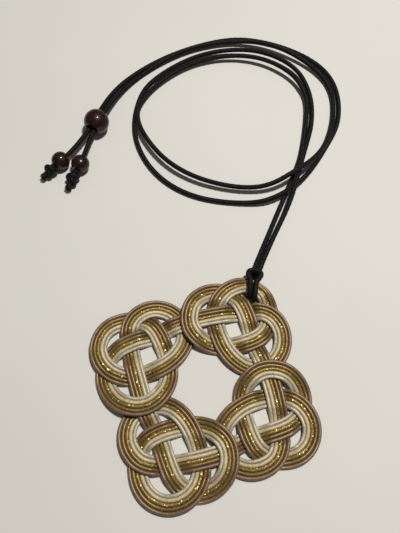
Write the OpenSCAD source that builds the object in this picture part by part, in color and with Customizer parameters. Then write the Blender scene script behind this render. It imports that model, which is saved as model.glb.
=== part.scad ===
// Mizuhiki pendant necklace lying on a flat surface: a ring of four awaji knots, plaited from a flat band of
// paper cords, on a doubled waxed cord with a sliding bead and two bead-and-knot ends.
// The middle of the ring's outline is the origin, and the surface is z = 0.

/* [Mizuhiki band] */
// Diameter of one mizuhiki cord
mizuhiki_d = 0.9; // [0.8:0.05:0.95]
// Number of cords laid side by side in the band
mizuhiki_count = 5; // [3:1:5]
// Distance from cord to cord across the band
mizuhiki_pitch = 0.91; // [0.85:0.01:0.95]
// Height from one layer of the weave to the next
layer_rise = 1.0; // [0.95:0.05:1.2]

/* [Pendant] */
// Size of the ring of knots against its drawn size, which is 57 mm wide
ring_scale = 1; // [0.98:0.01:1.04]

/* [Neck cord] */
// Diameter of the waxed cord
neck_d = 1.3; // [1.1:0.1:1.3]

/* [Beads] */
// Diameter of the bead that slides on both strands
slide_bead_d = 7.2; // [6.8:0.1:7.3]
// Hole through the sliding bead, wide enough for two strands
slide_bore_d = 3.1; // [2.9:0.1:3.3]
// Diameter of the bead on the end of each strand
end_bead_d = 5.1; // [4.6:0.1:5.1]
// Hole through an end bead
end_bore_d = 1.7; // [1.6:0.1:1.9]

/* [End knots] */
// Thickness of the overhand knot that stops an end bead
end_knot_d = 3.1; // [3:0.1:3.4]
// Length of the knot along the strand
end_knot_len = 3.3; // [3:0.1:3.8]
// Thickness of the frayed end of the cord
end_stub_d = 1.7; // [1.4:0.1:1.8]
// Cord left over past the knot
end_stub_len = 1.8; // [1.5:0.1:3]

/* [Hidden] */

// Middle of the band through one knot, [x, y] in mm, as it lies in the upper left of the ring. A knot has
// KNOT_STEPS places, numbered from 0, and the next knot carries on from the last of them.
KNOT_WAY = [
    [-15.9, -2.2], [-17.4, 3.6], [-18.6, 9.6],                                   // in, and up the left
    [-18.5, 14.8], [-15.9, 18.0], [-11.5, 19.1], [-7.2, 17.3], [-4.7, 13.0],     // top arc
    [-5.8, 8.4], [-9.6, 5.0], [-14.4, 3.1], [-19.4, 2.5],                        // back across, low
    [-23.9, 4.7], [-26.3, 9.2], [-24.8, 14.0], [-20.6, 16.3],                    // left arc
    [-16.0, 16.3], [-12.2, 14.2], [-10.0, 9.3], [-9.0, 4.6],                     // down through the middle
    [-9.5, 0.1], [-12.4, -3.5], [-16.6, -4.6], [-21.0, -2.9], [-23.9, 1.1],      // bottom arc
    [-24.0, 5.5], [-21.6, 9.1], [-16.9, 11.3], [-11.9, 12.5], [-7.0, 14.3],      // across, high, and out
];
KNOT_STEPS = len(KNOT_WAY);
// How each knot sits against a perfect ring, clockwise from the upper left: [degrees, shift x, shift y]
KNOT_SEATS = [[3, -0.4, 0.5], [-2, -0.1, 0], [-2, 0.6, 0.3], [1, -0.2, -0.8]];
KNOT_COUNT = len(KNOT_SEATS);
// How far the hand-tied band strays to the left of its drawn way, in mm, at each place of each knot
KNOT_STRAY = [
    [-0.5, -0.5, -0.5, -0.5, -0.4, 0, 0.3, 0.5, 0.5, 0.5, 0.4, 0.3, 0.1, -0.3, -0.4,
     -0.3, -0.1, 0, 0.2, 0.3, 0.5, 0.6, 0.6, 0.6, 0.3, -0.1, -0.4, -0.4, -0.3, -0.1],
    [0.4, 0.3, 0.2, 0.4, 0.5, 0.6, 0.6, 0.2, -0.1, 0, 0, 0, -0.2, -0.4, -0.4,
     -0.1, -0.2, -0.3, -0.4, -0.8, -1.0, -0.9, -0.6, -0.1, 0, -0.2, -0.5, -0.5, -0.3, -0.1],
    [0.2, 0.2, -0.1, -0.6, -0.7, -0.4, 0, 0.2, 0.3, 0.5, 0.6, 0.5, 0.2, -0.4, -0.6,
     -0.5, -0.5, -0.6, -0.5, -0.4, -0.3, -0.3, -0.1, 0.2, 0, -0.6, -1.1, -1.2, -0.8, -0.3],
    [-0.3, -0.5, -0.9, -1.3, -0.9, 0, 0.7, 0.9, 0.9, 0.8, 0.7, 0.8, 0.5, -0.3, -0.6,
     -0.2, 0.2, 0.3, 0.2, 0.1, 0, 0.2, 0.2, 0.2, -0.2, -0.9, -1.5, -1.5, -1.0, -0.3],
];
// Middle of the upper left knot, about which it is turned
KNOT_MIDDLE = [-13.7, 7.1];
// Where a run of the band meets another: [about its place, about the other's place, layer of this run]. Each
// run goes over one and under the next. A place past either end lies in the neighbouring knot.
WEAVE = [
    [1, 10.5, 1], [2, 26.5, 0], [3.5, 15.5, 1], [6.5, 29.5, 0], [9, 19, 1], [10.5, 1, 0],
    [12, 25, 1], [14, undef, 0.5], [15.5, 3.5, 0], [17.5, 28, 1], [19, 9, 0],
    [21.5, -0.5, 2], [25, 12, 0], [26.5, 2, 1], [28, 17.5, 0], [29.5, 6.5, 1], [29.5, 51.5, 1],
];
// Middle of the drawn ring's outline, which is set on the origin
DRAWN_MIDDLE = [-0.6, -0.3];
// How much longer the band stays in the top layer, as it lies over the neighbour's arc too
TOP_LAYER_WIDER = 1.6;
// Half the stretch over which an arc stays level at its top
ARC_HALF_STRETCH = 0.4;
// The knot whose left arc the hitch lifts and pinches: how far along the hitch is from the arc's top, how far
// the pinch reaches, how much narrower the band is in it, and how much thicker, as the cords ride up
HITCHED_KNOT = 1;
HITCH_OFF_TOP = -0.1;
PINCH_REACH = 1.6;
PINCH_NARROWS = 0.25;
PINCH_RISE = 0.5;
// Place at which the band is parted beneath the neighbour's arc, and the gap left there
PART_PLACE = -0.45;
PART_GAP = 0.03;
// Shortest stretch, in places, in which the band changes layer
LEAST_CHANGE = 0.2;
KNOT_RINGS = 90;

band_half_w = (mizuhiki_count - 1) / 2 * mizuhiki_pitch + mizuhiki_d / 2;
// How deep the groove between two cords of the band is, as a share of the cord's radius
groove_share = 0.45;

TUBE_SIDES = 8;
STRAND_RINGS = 80;
HITCH_RINGS = 72;

// Hitch round the top arc of the upper right knot: where it sits, how far its outward direction is turned
// from +Y, and its way from the end of the right leg to the end of the left one, [along the arc, outward, up]
HITCH_PLACE = [12.2, 25.2];
HITCH_TURN = -13;
HITCH_WAY = [
    [1.44, 8.07, 1.5], [1.2, 6.2, 1.55], [0.9, 4.6, 1.35], [0.78, 2.8, 0.85],    // right leg, coming in
    [0.9, 0.8, 0.66], [1.05, -1.2, 0.66], [1.15, -2.5, 0.9], [1.2, -3.1, 2.0],    // under the arc and up
    [1.15, -2.7, 3.2], [1.0, -1.4, 3.65], [0.85, 0.3, 3.65], [0.95, 1.5, 3.62],     // over its front
    [1.55, 2.7, 3.45], [1.55, 3.7, 3.2], [0.9, 4.25, 3.1],
    [0.0, 4.35, 3.05],                                                              // bar over both legs
    [-0.9, 4.2, 3.1], [-1.6, 3.6, 3.2], [-1.55, 2.6, 3.4], [-0.85, 1.4, 3.6],
    [-0.65, 0.3, 3.65], [-0.4, -1.1, 3.65], [-0.15, -2.1, 3.2], [-0.1, -2.55, 2.0],
    [-0.15, -2.0, 0.9], [-0.35, -0.9, 0.66], [-0.5, 0.9, 0.66], [-0.6, 2.8, 0.66],
    [-0.45, 4.6, 0.65], [-0.2, 6.2, 0.65], [0.05, 8.0, 0.65],                     // left leg, going out
];

// Ways of the two strands, from the hitch to the knots at their ends, [x, y, height of the middle] in mm
INNER_WAY = [
    [14.1, 33.1, 0.65], [20.5, 48.0, 0.65], [25.9, 60.8, 0.65], [28.2, 67.7, 0.67], [30.8, 82.6, 1.2],
    [29.4, 88.85, 1.9], [26.4, 93.9, 2.4], [18.4, 99.35, 2.5], [7.95, 101.05, 2.05], [-2.5, 98.85, 1.5],
    [-10.45, 93.9, 1.5], [-16.1, 88.25, 1.3], [-19.2, 82.2, 1.95], [-19.2, 76.5, 2.3], [-16.4, 70.3, 2.5],
    [-10.9, 63.3, 2.5], [-3.0, 58.0, 2.4], [6.5, 55.1, 2.1], [14.5, 54.5, 2.3], [20.0, 55.7, 3.4],
    [24.1, 57.9, 4.3], [28.2, 60.8, 4.0], [32.0, 64.6, 2.9], [35.4, 69.9, 2.1], [37.8, 76.9, 1.15],
    [38.7, 84.5, 0.65], [37.5, 91.3, 1.05], [33.4, 97.1, 1.45], [26.8, 102.1, 2.2], [18.45, 106.05, 2.2],
    [8.5, 107.25, 1.35], [-2.0, 105.05, 1.75], [-10.5, 101.0, 1.45], [-18.4, 95.35, 0.75], [-24.25, 89.1, 0.85],
    [-27.6, 82.6, 2.6], [-29.0, 78.6, 3.6], [-31.8, 72.2, 3.6], [-34.0, 64.6, 2.85], [-35.9, 59.1, 2.3],
];
OUTER_WAY = [
    [15.5, 32.9, 1.5], [19.0, 40.7, 1.3], [22.1, 46.8, 2.3], [24.4, 52.6, 3.4], [25.8, 57.2, 3.0],
    [29.65, 69.5, 1.75], [31.5, 76.0, 1.0], [32.3, 84.0, 0.65], [30.7, 90.85, 1.5], [26.45, 97.6, 2.1],
    [15.4, 103.1, 2.3], [1.5, 102.5, 1.65], [-8.1, 98.4, 1.0], [-14.5, 93.25, 0.95], [-18.85, 87.35, 0.75],
    [-20.6, 76.5, 0.65], [-17.9, 66.2, 0.65], [-11.2, 57.4, 0.65], [-1.0, 51.9, 0.69], [11.0, 50.4, 0.75],
    [17.5, 50.9, 1.75], [22.65, 53.4, 2.1], [27.45, 57.5, 1.5], [31.9, 63.2, 0.77], [35.75, 69.55, 0.67],
    [39.2, 76.2, 0.65], [40.4, 84.0, 0.65], [39.5, 91.4, 0.65], [35.7, 98.3, 0.65], [27.1, 104.6, 0.65],
    [15.0, 108.55, 0.65], [3.6, 107.9, 0.65], [-12.0, 101.7, 0.69], [-23.9, 92.45, 0.76], [-28.5, 84.75, 2.0],
    [-30.3, 79.2, 3.6], [-31.75, 76.0, 3.65], [-33.15, 72.7, 3.6], [-37.3, 66.2, 2.95], [-42.35, 61.05, 2.35],
];

// Where each bead sits: [middle, direction in which the strand leaves it]
SLIDE_BEAD = [[-31.15, 75.35, 3.65], [-1.4, -3.2, 0]];
END_BEADS = [[[-40.6, 62.9, 2.56], [-2.2, -2.3, -0.3]], [[-34.95, 61.9, 2.56], [-0.9, -2.6, -0.3]]];
// Where each end knot sits, and its size against the sizes above: [start, direction, thickness, length]
END_KNOTS = [[[-42.5, 60.9, 2.3], [-3.0, -3.0, -0.6], 1.15, 0.82], [[-36.35, 58.9, 2.3], [-2.0, -5.2, -0.8], 1.15, 0.95]];

black_cord = "#1d1b19";
bead_brown = "#4a221b";
band_gold = "#9a7734";

function unit(v) = v / norm(v);
function smooth(x) = let (t = min(1, max(0, x))) t * t * (3 - 2 * t);

// Cubic B-spline through four control points, and its slope
function spline(c, t) = ((1 - t)^3 * c[0] + (3*t^3 - 6*t^2 + 4) * c[1]
                         + (-3*t^3 + 3*t^2 + 3*t + 1) * c[2] + t^3 * c[3]) / 6;
function spline_slope(c, t) = (-(1 - t)^2 * c[0] + (3*t^2 - 4*t) * c[1]
                               + (-3*t^2 + 2*t + 1) * c[2] + t^2 * c[3]) / 2;
// A control point pushed outward, so that the spline passes through the listed points
function pushed(a, b, c) = b + (2*b - a - c) / 6;

// The band's closed way round the ring
function turned(p, angle) = [p.x * cos(angle) - p.y * sin(angle), p.x * sin(angle) + p.y * cos(angle)];
function seated(p, seat) = turned(p - KNOT_MIDDLE, seat[0]) + KNOT_MIDDLE + [seat[1], seat[2]];
drawn_way = [for (k = [0 : KNOT_COUNT - 1]) for (p = KNOT_WAY)
             turned(seated(p, KNOT_SEATS[k]), -90 * k)];
function left_of(v) = [-v.y, v.x];
function strayed(i) = let (n = len(drawn_way), ahead = drawn_way[(i + 1) % n] - drawn_way[(i + n - 1) % n])
    drawn_way[i] + KNOT_STRAY[floor(i / KNOT_STEPS)][i % KNOT_STEPS] * left_of(unit(ahead));
ring_way = [for (i = [0 : len(drawn_way) - 1]) ring_scale * strayed(i)];
ring_steps = len(ring_way);
function wrapped(i) = (i % ring_steps + ring_steps) % ring_steps;
ring_controls = [for (i = [0 : ring_steps - 1])
                 pushed(ring_way[wrapped(i - 1)], ring_way[i], ring_way[wrapped(i + 1)])];
function ring_four(place) = let (i = floor(place)) [for (j = [-1 : 2]) ring_controls[wrapped(i + j)]];
function ring_at(place) = spline(ring_four(place), place - floor(place));
function ring_slope(place) = spline_slope(ring_four(place), place - floor(place));

// One meeting of two runs, seen along the first: [place, layer, shift of the place per mm to the left,
// half the stretch that the other run covers]
function meeting(place, other, layer) =
    let (a = ring_slope(place), b = unit(ring_slope(other)), own = unit(a),
         half = band_half_w / abs(cross(own, b)) / norm(a))
    [place, layer, (own * b) / (b * left_of(own)) / norm(a), layer == 2 ? TOP_LAYER_WIDER * half : half];
// The exact places at which two runs meet, from about where they do
function met(place, other, tries = 6) = tries == 0 ? [place, other] :
    let (gap = ring_at(other) - ring_at(place), a = ring_slope(place), b = ring_slope(other))
    met(place + cross(gap, b) / cross(a, b), other + cross(gap, a) / cross(a, b), tries - 1);
function arc_top(place, layer, k) = k == HITCHED_KNOT
    ? [place + HITCH_OFF_TOP, (neck_d + 0.15) / layer_rise, 0, ARC_HALF_STRETCH]
    : [place, layer, 0, ARC_HALF_STRETCH];
function meetings(k) = [for (row = WEAVE) let (place = row[0] + k * KNOT_STEPS, other = row[1])
    other == undef ? arc_top(place, row[2], k)
                   : let (at = met(place, other + k * KNOT_STEPS)) meeting(at[0], at[1], row[2])];
function met_at(row, left) = row[0] + left * row[2];

// Height of the band's middle at a place, left mm to the left of its middle line
function layer_at(rows, place, left) =
    let (after = [for (i = [1 : len(rows) - 1]) if (place < met_at(rows[i], left)) i][0],
         a = rows[after - 1], b = rows[after],
         from = met_at(a, left) + a[3], to = met_at(b, left) - b[3],
         middle = (from + to) / 2, stretch = max(LEAST_CHANGE, to - from))
    a[1] + (b[1] - a[1]) * smooth((place - middle) / stretch + 0.5);

// Outline of the band's section, [mm to the left, share of the radius up]: a ridge for each cord
section_top = [for (i = [0 : 2 * mizuhiki_count - 2]) let (cord = i / 2 - (mizuhiki_count - 1) / 2)
               [cord * mizuhiki_pitch, i % 2 == 0 ? 1 : 1 - groove_share]];
section_under = [for (i = [len(section_top) - 1 : -1 : 0]) [section_top[i].x, -section_top[i].y]];
band_section = concat([[-band_half_w, 0]], section_top, [[band_half_w, 0]], section_under);

// Closed solid through rings of points, each ring with the same number of them
module swept(rings) {
    n = len(rings[0]);
    last = len(rings) - 1;
    sides = [for (i = [0 : last - 1]) for (j = [0 : n - 1]) let (a = i * n + j, b = i * n + (j + 1) % n)
             each [[a, b, b + n], [a, b + n, a + n]]];
    caps = [[for (j = [n - 1 : -1 : 0]) j], [for (j = [0 : n - 1]) last * n + j]];
    polyhedron([for (ring = rings) each ring], concat(caps, sides), convexity = 10);
}

// One awaji knot, from beneath its own bottom arc to beneath the next knot's
function pinch(place) = let (hitch = HITCHED_KNOT * KNOT_STEPS + WEAVE[7][0] + HITCH_OFF_TOP)
    smooth(1 - abs(place - hitch) / PINCH_REACH);
module awaji_knot(k) {
    before = meetings(k - 1);
    rows = concat([before[len(before) - 1]], meetings(k), [meetings(k + 1)[0]]);
    first = k * KNOT_STEPS + PART_PLACE + PART_GAP;
    step = (KNOT_STEPS - 2 * PART_GAP) / (KNOT_RINGS - 1);
    color(band_gold)
        centred()
            swept([for (i = [0 : KNOT_RINGS - 1])
                   let (place = first + i * step, middle = ring_at(place),
                        left = left_of(unit(ring_slope(place))),
                        width = 1 - PINCH_NARROWS * pinch(place),
                        rise = mizuhiki_d / 2 * (1 + PINCH_RISE * pinch(place)))
                   [for (p = band_section)
                    let (at = middle + width * p.x * left, layer = layer_at(rows, place, width * p.x))
                    [at.x, at.y, layer * layer_rise + rise * (1 + p.y)]]]);
}

// Open spline through points, and round tubes along it
function open_controls(way) = let (n = len(way) - 1, c = concat([way[0]],
    [for (i = [1 : n - 1]) pushed(way[i - 1], way[i], way[i + 1])], [way[n]]))
    concat([2 * c[0] - c[1]], c, [2 * c[n] - c[n - 1]]);
function open_four(controls, place) = let (i = min(floor(place), len(controls) - 4))
    [for (j = [0 : 3]) controls[i + j]];
function open_at(controls, place) =
    spline(open_four(controls, place), place - min(floor(place), len(controls) - 4));
function open_slope(controls, place) =
    spline_slope(open_four(controls, place), place - min(floor(place), len(controls) - 4));

module round_tube(way, d, rings) {
    controls = open_controls(way);
    step = (len(way) - 1) / (rings - 1);
    along = [for (i = [0 : rings - 1]) unit(open_slope(controls, i * step))];
    // Each ring keeps the last one's side direction, so that the tube doesn't twist
    across = [for (i = 0, v = unit(cross(along[0], [0, 0, 1])); i < rings;
                   i = i + 1, v = i < rings ? unit(v - (v * along[i]) * along[i]) : v) v];
    swept([for (i = [0 : rings - 1]) let (up = cross(across[i], along[i]))
           [for (j = [0 : TUBE_SIDES - 1]) let (angle = (j + 0.5) * 360 / TUBE_SIDES)
            open_at(controls, i * step) + d / 2 * (cos(angle) * across[i] + sin(angle) * up)]]);
}

// Lark's head round the arc: two legs run beneath it, come up inside it, cross its front and join in a bar
module hitch() {
    color(black_cord)
        neck_side()
            translate([HITCH_PLACE.x, HITCH_PLACE.y, 0])
                rotate([0, 0, HITCH_TURN])
                    round_tube(HITCH_WAY, neck_d, HITCH_RINGS);
}

module neck_strand(way) {
    color(black_cord)
        neck_side()
            round_tube(way, neck_d, STRAND_RINGS);
}

// Moves what was placed about the drawn ring so that the ring's outline is centred on the origin
module centred() {
    translate([-DRAWN_MIDDLE.x, -DRAWN_MIDDLE.y, 0])
        children();
}

// The same for all that hangs on the hitch, which follows its arc when the ring's size changes
module neck_side() {
    translate([(ring_scale - 1) * HITCH_PLACE.x, (ring_scale - 1) * HITCH_PLACE.y, 0])
        centred()
            children();
}

// Turns a piece made along +Z so that it points along a direction
module pointed(at, along) {
    translate(at)
        rotate([0, acos(along.z / norm(along)), atan2(along.y, along.x)])
            children();
}

module bead(seat, d, bore_d) {
    color(bead_brown)
        neck_side()
            pointed(seat[0], seat[1])
                difference() {
                    sphere(d = d, $fn = 96);
                    cylinder(h = 2 * d, d = bore_d, center = true, $fn = 48);
                }
}

// Overhand knot: two turns of cord side by side, and the stub of cord past them
module end_knot(seat) {
    knot_d = seat[2] * end_knot_d;
    knot_len = seat[3] * end_knot_len;
    turn_r = 0.3 * knot_len;
    color(black_cord)
        neck_side()
            pointed(seat[0], seat[1]) {
                rotate_extrude($fn = 48)
                    difference() {
                        union() {
                            for (turn = [turn_r, knot_len - turn_r])
                                translate([knot_d / 2 - turn_r, turn])
                                    circle(r = turn_r, $fn = 32);
                            translate([0, 0.1])
                                square([knot_d / 2 - turn_r, knot_len - 0.2]);
                        }
                        translate([-knot_d, -knot_len])
                            square([knot_d, 3 * knot_len]);
                    }
                translate([0, 0, knot_len / 2])
                    cylinder(h = knot_len / 2 + seat[3] * end_stub_len, d1 = neck_d, d2 = end_stub_d, $fn = 24);
            }
}

awaji_knot(0);  // knot_upper_left
awaji_knot(1);  // knot_upper_right
awaji_knot(2);  // knot_lower_right
awaji_knot(3);  // knot_lower_left
hitch();
neck_strand(INNER_WAY);  // neck_strand_inner
neck_strand(OUTER_WAY);  // neck_strand_outer
bead(SLIDE_BEAD, slide_bead_d, slide_bore_d);  // slide_bead
bead(END_BEADS[0], end_bead_d, end_bore_d);  // end_bead_left
bead(END_BEADS[1], end_bead_d, end_bore_d);  // end_bead_right
end_knot(END_KNOTS[0]);  // end_knot_left
end_knot(END_KNOTS[1]);  // end_knot_right
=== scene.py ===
"""Mizuhiki pendant necklace, laid flat on a pale board: the shape and finish of each of its pieces."""
import math

import bpy
import numpy as np
from mathutils import Euler, Matrix, Vector


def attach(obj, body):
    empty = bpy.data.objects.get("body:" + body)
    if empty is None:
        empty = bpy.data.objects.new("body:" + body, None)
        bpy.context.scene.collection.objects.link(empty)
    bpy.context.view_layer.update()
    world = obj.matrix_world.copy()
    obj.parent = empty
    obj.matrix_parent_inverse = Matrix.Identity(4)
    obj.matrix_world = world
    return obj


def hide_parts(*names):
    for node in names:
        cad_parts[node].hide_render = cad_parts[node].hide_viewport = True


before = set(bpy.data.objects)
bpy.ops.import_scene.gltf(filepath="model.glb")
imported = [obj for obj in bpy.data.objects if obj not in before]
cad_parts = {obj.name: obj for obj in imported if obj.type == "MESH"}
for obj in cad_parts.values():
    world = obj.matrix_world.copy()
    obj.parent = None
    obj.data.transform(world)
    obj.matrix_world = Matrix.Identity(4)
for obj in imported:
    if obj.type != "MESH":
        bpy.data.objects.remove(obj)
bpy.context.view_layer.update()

MM = 0.001

# Camera, in mm and degrees: its height, the point it stands over, its lean from straight down, its lens
CAMERA_HEIGHT = 131.8
CAMERA_FOOT = (-0.6, -19.9)
CAMERA_LEAN = 21.5
LENS = 36.0
SENSOR = 36.0

# Sizes of the pieces, in millimetres
MIZUHIKI_D = 0.9
MIZUHIKI_COUNT = 5
MIZUHIKI_PITCH = 0.91
LAYER_RISE = 1.0
NECK_D = 1.3
SLIDE_BEAD_D, SLIDE_BORE_D = 7.2, 3.1
END_BEAD_D, END_BORE_D = 5.1, 1.7

# What is drawn about the ring is moved so that the ring's outline is centred on the origin
DRAWN_MIDDLE = np.array([-0.6, -0.3, 0.0])

# Ways of the two neck strands, from the hitch to their end knots: [x, y, height of the middle] in mm
INNER_WAY = [
    [14.1, 33.1, 0.65], [20.5, 48.0, 0.65], [25.9, 60.8, 0.65], [28.2, 67.7, 0.67],
    [30.8, 82.6, 1.2], [29.4, 88.85, 1.9], [26.4, 93.9, 2.4], [18.4, 99.35, 2.5],
    [7.95, 101.05, 2.05], [-2.5, 98.85, 1.5], [-10.45, 93.9, 1.5], [-16.1, 88.25, 1.3],
    [-19.2, 82.2, 1.95], [-19.2, 76.5, 2.3], [-16.4, 70.3, 2.5], [-10.9, 63.3, 2.5],
    [-3.0, 58.0, 2.4], [6.5, 55.1, 2.1], [14.5, 54.5, 2.3], [20.0, 55.7, 3.4],
    [24.1, 57.9, 4.3], [28.2, 60.8, 4.0], [32.0, 64.6, 2.9], [35.4, 69.9, 2.1],
    [37.8, 76.9, 1.15], [38.7, 84.5, 0.65], [37.5, 91.3, 1.05], [33.4, 97.1, 1.45],
    [26.8, 102.1, 2.2], [18.45, 106.05, 2.2], [8.5, 107.25, 1.35], [-2.0, 105.05, 1.75],
    [-10.5, 101.0, 1.45], [-18.4, 95.35, 0.75], [-24.25, 89.1, 0.85], [-27.6, 82.6, 2.6],
    [-29.0, 78.6, 3.6], [-31.8, 72.2, 3.6], [-34.0, 64.6, 2.85], [-35.9, 59.1, 2.3],
]
OUTER_WAY = [
    [15.5, 32.9, 1.5], [19.0, 40.7, 1.3], [22.1, 46.8, 2.3], [24.4, 52.6, 3.4],
    [25.8, 57.2, 3.0], [29.65, 69.5, 1.75], [31.5, 76.0, 1.0], [32.3, 84.0, 0.65],
    [30.7, 90.85, 1.5], [26.45, 97.6, 2.1], [15.4, 103.1, 2.3], [1.5, 102.5, 1.65],
    [-8.1, 98.4, 1.0], [-14.5, 93.25, 0.95], [-18.85, 87.35, 0.75], [-20.6, 76.5, 0.65],
    [-17.9, 66.2, 0.65], [-11.2, 57.4, 0.65], [-1.0, 51.9, 0.69], [11.0, 50.4, 0.75],
    [17.5, 50.9, 1.75], [22.65, 53.4, 2.1], [27.45, 57.5, 1.5], [31.9, 63.2, 0.77],
    [35.75, 69.55, 0.67], [39.2, 76.2, 0.65], [40.4, 84.0, 0.65], [39.5, 91.4, 0.65],
    [35.7, 98.3, 0.65], [27.1, 104.6, 0.65], [15.0, 108.55, 0.65], [3.6, 107.9, 0.65],
    [-12.0, 101.7, 0.69], [-23.9, 92.45, 0.76], [-28.5, 84.75, 2.0], [-30.3, 79.2, 3.6],
    [-31.75, 76.0, 3.65], [-33.15, 72.7, 3.6], [-37.3, 66.2, 2.95], [-42.35, 61.05, 2.35],
]

# The hitch: its place, how far its outward direction is turned, and its way, [along the arc, outward, up]
HITCH_PLACE = (12.2, 25.2)
HITCH_TURN = -13
HITCH_WAY = [
    [1.44, 8.07, 1.5], [1.2, 6.2, 1.55], [0.9, 4.6, 1.35], [0.78, 2.8, 0.85],
    [0.9, 0.8, 0.66], [1.05, -1.2, 0.66], [1.15, -2.5, 0.9], [1.2, -3.1, 2.0],
    [1.15, -2.7, 3.2], [1.0, -1.4, 3.65], [0.85, 0.3, 3.65], [0.95, 1.5, 3.62],
    [1.55, 2.7, 3.45], [1.55, 3.7, 3.2], [0.9, 4.25, 3.1],
    [0.0, 4.35, 3.05],
    [-0.9, 4.2, 3.1], [-1.6, 3.6, 3.2], [-1.55, 2.6, 3.4], [-0.85, 1.4, 3.6],
    [-0.65, 0.3, 3.65], [-0.4, -1.1, 3.65], [-0.15, -2.1, 3.2], [-0.1, -2.55, 2.0],
    [-0.15, -2.0, 0.9], [-0.35, -0.9, 0.66], [-0.5, 0.9, 0.66], [-0.6, 2.8, 0.66],
    [-0.45, 4.6, 0.65], [-0.2, 6.2, 0.65], [0.05, 8.0, 0.65],
]

# Where each bead sits: [middle, direction in which the strand leaves it]
SLIDE_BEAD = [[-31.15, 75.35, 3.65], [-1.4, -3.2, 0]]
END_BEADS = {
    "left": [[-40.6, 62.9, 2.56], [-2.2, -2.3, -0.3]],
    "right": [[-34.95, 61.9, 2.56], [-0.9, -2.6, -0.3]],
}
# Where each end knot sits, and its size against the way below: [start, direction, thickness, length]
END_KNOTS = {
    "left": [[-42.5, 60.9, 2.3], [-3.0, -3.0, -0.6], 1.15, 0.82],
    "right": [[-36.35, 58.9, 2.3], [-2.0, -5.2, -0.8], 1.15, 0.95],
}

# Way of the cord through an overhand knot, [across, across, along] in mm, as it leaves the bead along +Z
OVERHAND_WAY = [
    [-0.1, 0.0, -0.3], [-0.35, 0.0, 0.5], [-0.5, 0.05, 1.5], [-0.35, 0.3, 2.4],
    [0.35, 0.85, 2.9], [0.98, 0.2, 2.7], [0.8, -0.75, 2.15], [-0.15, -1.05, 1.75],
    [-1.0, -0.45, 1.35], [-0.9, 0.65, 0.95], [0.05, 1.02, 0.65], [0.8, 0.45, 0.55],
    [0.7, -0.15, 1.2], [0.5, -0.1, 2.3], [0.3, 0.0, 3.5], [0.1, 0.0, 5.0],
]

# Middle of the band through one knot, [x, y] in mm, as it lies in the upper left of the ring
KNOT_WAY = [
    [-15.9, -2.2], [-17.4, 3.6], [-18.6, 9.6],
    [-18.5, 14.8], [-15.9, 18.0], [-11.5, 19.1], [-7.2, 17.3], [-4.7, 13.0],
    [-5.8, 8.4], [-9.6, 5.0], [-14.4, 3.1], [-19.4, 2.5],
    [-23.9, 4.7], [-26.3, 9.2], [-24.8, 14.0], [-20.6, 16.3],
    [-16.0, 16.3], [-12.2, 14.2], [-10.0, 9.3], [-9.0, 4.6],
    [-9.5, 0.1], [-12.4, -3.5], [-16.6, -4.6], [-21.0, -2.9], [-23.9, 1.1],
    [-24.0, 5.5], [-21.6, 9.1], [-16.9, 11.3], [-11.9, 12.5], [-7.0, 14.3],
]
KNOT_STEPS = len(KNOT_WAY)
KNOT_NAMES = ["upper_left", "upper_right", "lower_right", "lower_left"]
# How each knot sits against a perfect ring: [degrees, shift x, shift y]
KNOT_SEATS = [[3, -0.4, 0.5], [-2, -0.1, 0], [-2, 0.6, 0.3], [1, -0.2, -0.8]]
# How far the hand-tied band strays to the left of its drawn way, in mm, at each place of each knot
KNOT_STRAY = [
    [-0.5, -0.5, -0.5, -0.5, -0.4, 0, 0.3, 0.5, 0.5, 0.5, 0.4, 0.3, 0.1, -0.3, -0.4,
     -0.3, -0.1, 0, 0.2, 0.3, 0.5, 0.6, 0.6, 0.6, 0.3, -0.1, -0.4, -0.4, -0.3, -0.1],
    [0.4, 0.3, 0.2, 0.4, 0.5, 0.6, 0.6, 0.2, -0.1, 0, 0, 0, -0.2, -0.4, -0.4,
     -0.1, -0.2, -0.3, -0.4, -0.8, -1.0, -0.9, -0.6, -0.1, 0, -0.2, -0.5, -0.5, -0.3, -0.1],
    [0.2, 0.2, -0.1, -0.6, -0.7, -0.4, 0, 0.2, 0.3, 0.5, 0.6, 0.5, 0.2, -0.4, -0.6,
     -0.5, -0.5, -0.6, -0.5, -0.4, -0.3, -0.3, -0.1, 0.2, 0, -0.6, -1.1, -1.2, -0.8, -0.3],
    [-0.3, -0.5, -0.9, -1.3, -0.9, 0, 0.7, 0.9, 0.9, 0.8, 0.7, 0.8, 0.5, -0.3, -0.6,
     -0.2, 0.2, 0.3, 0.2, 0.1, 0, 0.2, 0.2, 0.2, -0.2, -0.9, -1.5, -1.5, -1.0, -0.3],
]
KNOT_MIDDLE = np.array([-13.7, 7.1])
# Place at the top of a knot's outer arc, which the hitch goes round on one knot
ARC_TOP = 14
# Where a run of the band meets another: [about its place, about the other's place, layer of this run]
WEAVE = [
    [1, 10.5, 1], [2, 26.5, 0], [3.5, 15.5, 1], [6.5, 29.5, 0], [9, 19, 1], [10.5, 1, 0],
    [12, 25, 1], [ARC_TOP, None, 0.5], [15.5, 3.5, 0], [17.5, 28, 1], [19, 9, 0],
    [21.5, -0.5, 2], [25, 12, 0], [26.5, 2, 1], [28, 17.5, 0], [29.5, 6.5, 1], [29.5, 51.5, 1],
]
# How many times longer the band stays up where it crosses in the top layer, and half the stretch, in
# places, for which it stays level at the arc's top
TOP_LAYER_WIDER = 1.6
ARC_HALF_STRETCH = 0.4
# The arc that the hitch lifts and pinches: how far it clears the hitch's cord beneath it, in mm, and, in
# places, how far off the arc's top the hitch sits and how far the pinch reaches along the arc
HITCHED_KNOT = 1
HITCH_SPARE = 0.15
HITCH_OFF_TOP = -0.1
PINCH_REACH = 1.6
# Shares by which the pinch draws the cords together and lifts their middles off the layer beneath
PINCH_NARROWS = 0.25
PINCH_RISE = 0.5
# In the pinch the cords ride over each other: every other one lies this far above the middle, the rest
# as far below it
PINCH_STAGGER = 0.3
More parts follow.
